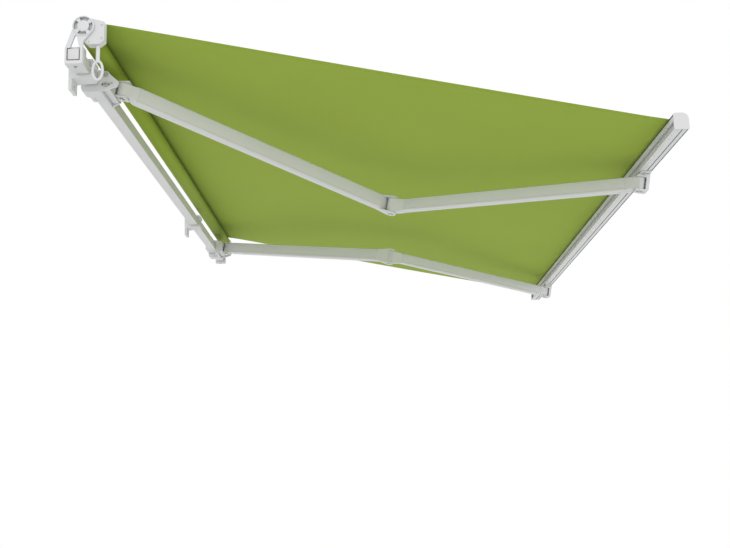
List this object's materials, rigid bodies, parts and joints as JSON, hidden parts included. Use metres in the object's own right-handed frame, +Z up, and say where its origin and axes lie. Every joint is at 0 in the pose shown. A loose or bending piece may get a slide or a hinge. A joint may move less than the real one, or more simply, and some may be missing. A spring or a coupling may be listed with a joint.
{
  "type": "folding-arm awning",
  "caption": "Wall-mounted folding-arm awning with cloth on a roller, worm crank, torsion bar, front bar and two folding arms.",
  "frame": {"origin": "middle of the left wall bracket's back face, where it meets the wall", "axes": "+X along the wall towards the right end, +Y into the wall, +Z up; the cloth leads towards -Y"},
  "size_m": [3.003, 1.8835, 0.4907],
  "materials": {
    "white_paint": "light grey powder coat, satin",
    "zinc_steel": "zinc plated",
    "light_plastic": "light grey moulded",
    "awning_cloth": "woven acrylic cloth, lime green"
  },
  "bodies": {
    "root": {"torsion_bar": "white_paint", "bar_plug_left": "light_plastic", "bar_plug_right": "light_plastic", "wall_bracket_left": "white_paint", "wall_bracket_right": "white_paint", "bar_clamp_left": "white_paint", "bar_clamp_right": "white_paint", "clamp_screw_left": "zinc_steel", "clamp_screw_right": "zinc_steel", "end_bracket_left": "white_paint", "end_bracket_right": "white_paint", "bracket_screw_left": "zinc_steel", "bracket_screw_right": "zinc_steel", "gearbox_housing": "light_plastic", "gearbox_cover": "light_plastic", "idler_pin": "zinc_steel", "shoulder_bracket_left": "white_paint", "shoulder_bracket_right": "white_paint", "tilt_bolt_left": "zinc_steel", "tilt_bolt_right": "zinc_steel", "lock_bolt_left": "zinc_steel", "lock_bolt_right": "zinc_steel", "shoulder_fork_left": "white_paint", "shoulder_fork_right": "white_paint", "shoulder_pin_left": "zinc_steel", "shoulder_pin_right": "zinc_steel", "canopy": "awning_cloth"},
    "roller": {"roller_tube": "zinc_steel", "drive_plug": "light_plastic", "worm_wheel": "zinc_steel", "idler_plug": "light_plastic", "wound_fabric": "awning_cloth"},
    "crank": {"crank_worm": "white_paint"},
    "upper_arm_left": {"upper_arm_left": "white_paint", "shoulder_eye_left": "white_paint", "elbow_fork_left": "white_paint", "elbow_pin_left": "zinc_steel", "arm_spring_left": "zinc_steel"},
    "upper_arm_right": {"upper_arm_right": "white_paint", "shoulder_eye_right": "white_paint", "elbow_fork_right": "white_paint", "elbow_pin_right": "zinc_steel", "arm_spring_right": "zinc_steel"},
    "forearm_left": {"forearm_left": "white_paint", "elbow_eye_left": "white_paint", "wrist_eye_left": "white_paint"},
    "forearm_right": {"forearm_right": "white_paint", "elbow_eye_right": "white_paint", "wrist_eye_right": "white_paint"},
    "front_bar": {"front_bar": "white_paint", "front_bar_cap_left": "light_plastic", "front_bar_cap_right": "light_plastic", "hem_rod": "light_plastic", "wrist_bracket_left": "white_paint", "wrist_bracket_right": "white_paint", "wrist_pin_left": "zinc_steel", "wrist_pin_right": "zinc_steel", "wrist_screw_left": "zinc_steel", "wrist_screw_right": "zinc_steel"}
  },
  "joints": [
    {"name": "shoulder_left", "type": "hinge", "parent": "root", "child": "upper_arm_left", "pos_m": [0.16, -0.126, -0.0055], "axis": [0, -0.1889, 0.982], "range_deg": [0, 48.6], "deforming": ["canopy"]},
    {"name": "elbow_left", "type": "hinge", "parent": "upper_arm_left", "child": "forearm_left", "pos_m": [0.88029, -1.01411, -0.23594], "axis": [0, -0.1889, 0.982], "range_deg": [-101.3, 0]},
    {"name": "wrist_left", "type": "hinge", "parent": "forearm_left", "child": "front_bar", "pos_m": [0.32, -1.84446, -0.33611], "axis": [0, -0.1889, 0.982], "range_deg": [0, 52.7]},
    {"name": "shoulder_right", "type": "hinge", "parent": "root", "child": "upper_arm_right", "pos_m": [2.56, -0.126, -0.0055], "axis": [0, -0.1889, 0.982], "range_deg": [-48.6, 0]},
    {"name": "elbow_right", "type": "hinge", "parent": "upper_arm_right", "child": "forearm_right", "pos_m": [1.83971, -1.01411, -0.23594], "axis": [0, -0.1889, 0.982], "range_deg": [0, 101.3]},
    {"name": "roller_spin", "type": "hinge", "parent": "root", "child": "roller", "pos_m": [0, -0.074, 0.09], "axis": [1, 0, 0], "continuous": true},
    {"name": "crank_spin", "type": "hinge", "parent": "root", "child": "crank", "pos_m": [-0.1167, -0.1148, 0.09], "axis": [0, 0, 1], "continuous": true}
  ],
  "couplings": [
    {"joint": "elbow_left", "follows": "shoulder_left", "ratio": -2.0835},
    {"joint": "wrist_left", "follows": "shoulder_left", "ratio": 1.0836},
    {"joint": "shoulder_right", "follows": "shoulder_left", "ratio": -1},
    {"joint": "elbow_right", "follows": "shoulder_left", "ratio": 2.0835},
    {"joint": "crank_spin", "follows": "roller_spin", "ratio": 11}
  ]
}
